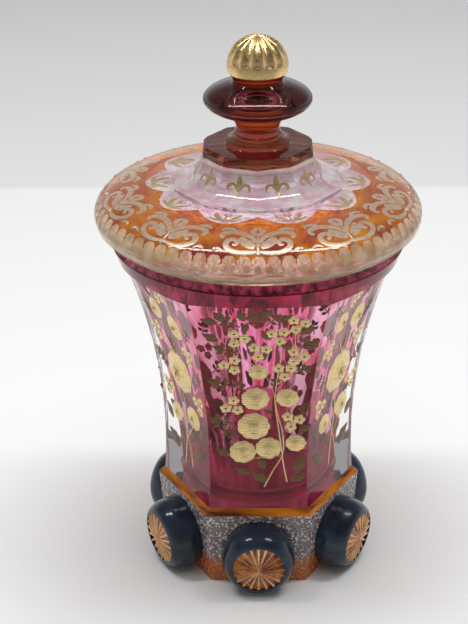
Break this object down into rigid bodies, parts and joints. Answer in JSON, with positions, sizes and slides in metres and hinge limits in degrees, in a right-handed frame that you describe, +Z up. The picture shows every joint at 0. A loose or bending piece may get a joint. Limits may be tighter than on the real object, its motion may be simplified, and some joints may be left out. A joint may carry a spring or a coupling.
{
  "type": "covered glass beaker",
  "caption": "Covered beaker of cased and wheel-cut ruby glass on a block foot with star-cut prunts, with a domed amber-stained cover, disc knop and gilt ball finial.",
  "frame": {"origin": "on the table, under the middle of the foot", "axes": "+Z up along the beaker's axis; -Y towards the viewer, square to the front panel"},
  "size_m": [0.11, 0.11, 0.1902],
  "materials": {
    "clear_glass": "polished",
    "ruby_glass": "polished",
    "foot_glass": "stippled",
    "slate_overlay": "polished",
    "amber_star": "cut",
    "cover_glass": "polished",
    "amber_glass": "polished",
    "gilding": "polished"
  },
  "bodies": {
    "beaker": {"foot_block": "foot_glass", "body_casing": "clear_glass", "ruby_lining": "ruby_glass", "prunt_shell_1": "slate_overlay", "prunt_shell_2": "slate_overlay", "prunt_shell_3": "slate_overlay", "prunt_shell_4": "slate_overlay", "prunt_shell_5": "slate_overlay", "prunt_shell_6": "slate_overlay", "prunt_core_1": "amber_star", "prunt_core_2": "amber_star", "prunt_core_3": "amber_star", "prunt_core_4": "amber_star", "prunt_core_5": "amber_star", "prunt_core_6": "amber_star"},
    "cover": {"cover_bell": "cover_glass", "finial_collar": "amber_glass", "finial_stem": "amber_glass", "finial_ball": "gilding"}
  },
  "joints": [
    {"name": "cover_lift", "type": "slide", "parent": "beaker", "child": "cover", "axis": [0, 0, 1], "range_m": [0, 0.08]}
  ]
}
